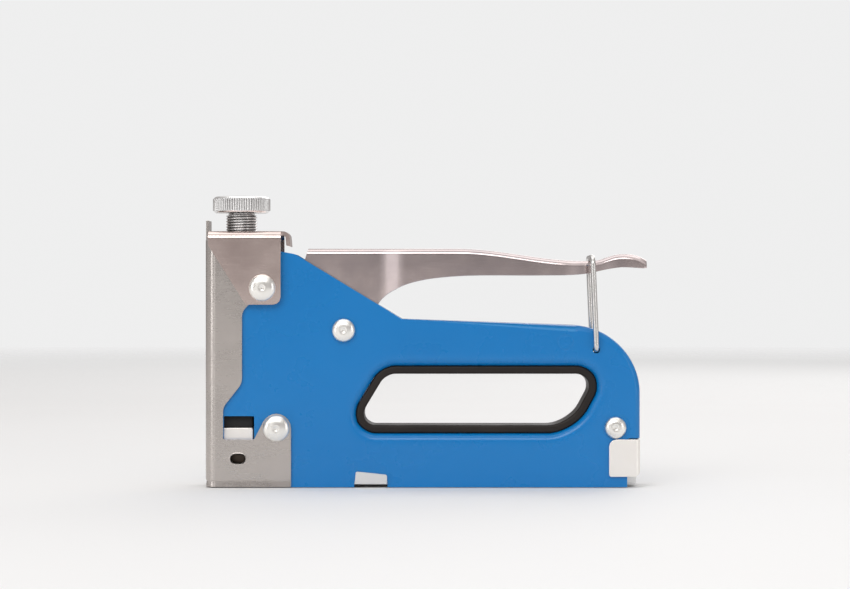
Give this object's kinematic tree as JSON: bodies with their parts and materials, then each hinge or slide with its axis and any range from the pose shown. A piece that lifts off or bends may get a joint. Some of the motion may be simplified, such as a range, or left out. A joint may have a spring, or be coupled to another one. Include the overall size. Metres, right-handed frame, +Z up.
{
  "type": "staple gun",
  "caption": "Hand staple gun with a two-shell pressed steel body, squeeze lever, wire lock, power adjusting knob and pull-out magazine.",
  "frame": {"origin": "middle of the base, half way between the nose and the lever's tail", "axes": "+Z up from the base, the nose with the staple exit points to -X, the body is symmetric about Y = 0"},
  "size_m": [0.1622, 0.0296, 0.1066],
  "materials": {
    "blue_paint": "glossy enamel over pressed steel",
    "nickel_plate": "bright plating over rolled sheet",
    "lever_chrome": "bright plating",
    "knob_chrome": "bright plating over a knurled knob",
    "rivet_steel": "plated domed heads",
    "wire_steel": "drawn plated wire",
    "sheet_steel": "zinc plated sheet",
    "hard_steel": "hardened and oiled",
    "spring_steel": "oiled spring wire",
    "black_plastic": "moulded with a satin sheen",
    "black_rubber": "matt"
  },
  "bodies": {
    "body": {"left_shell": "blue_paint", "right_shell": "blue_paint", "front_plate": "nickel_plate", "adjuster_bracket": "nickel_plate", "adjuster_nut": "sheet_steel", "main_spring": "spring_steel", "bumper": "black_rubber", "striker_guide": "nickel_plate", "lever_pin": "rivet_steel", "pivot_washers": "sheet_steel", "lever_spring": "spring_steel", "front_top_rivet": "rivet_steel", "front_bottom_rivet": "rivet_steel", "rear_rivet": "rivet_steel", "front_spacers": "sheet_steel", "rear_spacers": "sheet_steel", "magazine_channel": "sheet_steel", "grip_liner": "black_plastic"},
    "lever_arm": {"lever": "lever_chrome", "lifter": "hard_steel", "lifter_rivet": "hard_steel"},
    "hammer": {"plunger": "hard_steel", "striker": "hard_steel", "striker_rivet": "hard_steel"},
    "seat": {"spring_seat": "hard_steel"},
    "adjuster": {"adjuster_screw": "sheet_steel", "adjuster_knob": "knob_chrome"},
    "wire_lock": {"bail": "wire_steel"},
    "magazine": {"magazine_rail": "sheet_steel", "guide_rod": "sheet_steel", "pusher_spring": "spring_steel", "rear_cap": "nickel_plate"},
    "staple_pusher": {"pusher": "hard_steel"}
  },
  "joints": [
    {"name": "lever_squeeze", "type": "hinge", "parent": "body", "child": "lever_arm", "pos_m": [-0.0304, 0, 0.0574], "axis": [0, 1, 0], "range_deg": [0, 11], "stiffness_Nm_per_rad": 8, "springref_deg": -14.32, "deforming": ["lever_spring"]},
    {"name": "plunger_lift", "type": "slide", "parent": "body", "child": "hammer", "axis": [0, 0, 1], "range_m": [0, 0.0069], "deforming": ["main_spring"]},
    {"name": "bail_swing", "type": "hinge", "parent": "body", "child": "wire_lock", "pos_m": [0.0621, 0, 0.0503], "axis": [0, 1, 0], "range_deg": [0, 67]},
    {"name": "adjuster_travel", "type": "slide", "parent": "body", "child": "seat", "axis": [0, 0, 1], "range_m": [-0.006, 0.001]},
    {"name": "knob_turn", "type": "hinge", "parent": "seat", "child": "adjuster", "pos_m": [-0.06845, 0, 0.1006], "axis": [0, 0, 1], "range_deg": [-2161, 361]},
    {"name": "magazine_slide", "type": "slide", "parent": "body", "child": "magazine", "axis": [1, 0, 0], "range_m": [0, 0.12]},
    {"name": "pusher_slide", "type": "slide", "parent": "magazine", "child": "staple_pusher", "axis": [1, 0, 0], "range_m": [0, 0.07], "stiffness_N_per_m": 60, "springref_m": -0.08, "deforming": ["pusher_spring"]}
  ],
  "couplings": [
    {"joint": "plunger_lift", "follows": "lever_squeeze", "m_per_rad": 0.0355},
    {"joint": "bail_swing", "follows": "lever_squeeze", "ratio": 6},
    {"joint": "knob_turn", "follows": "adjuster_travel", "rad_per_m": 6283.2}
  ]
}
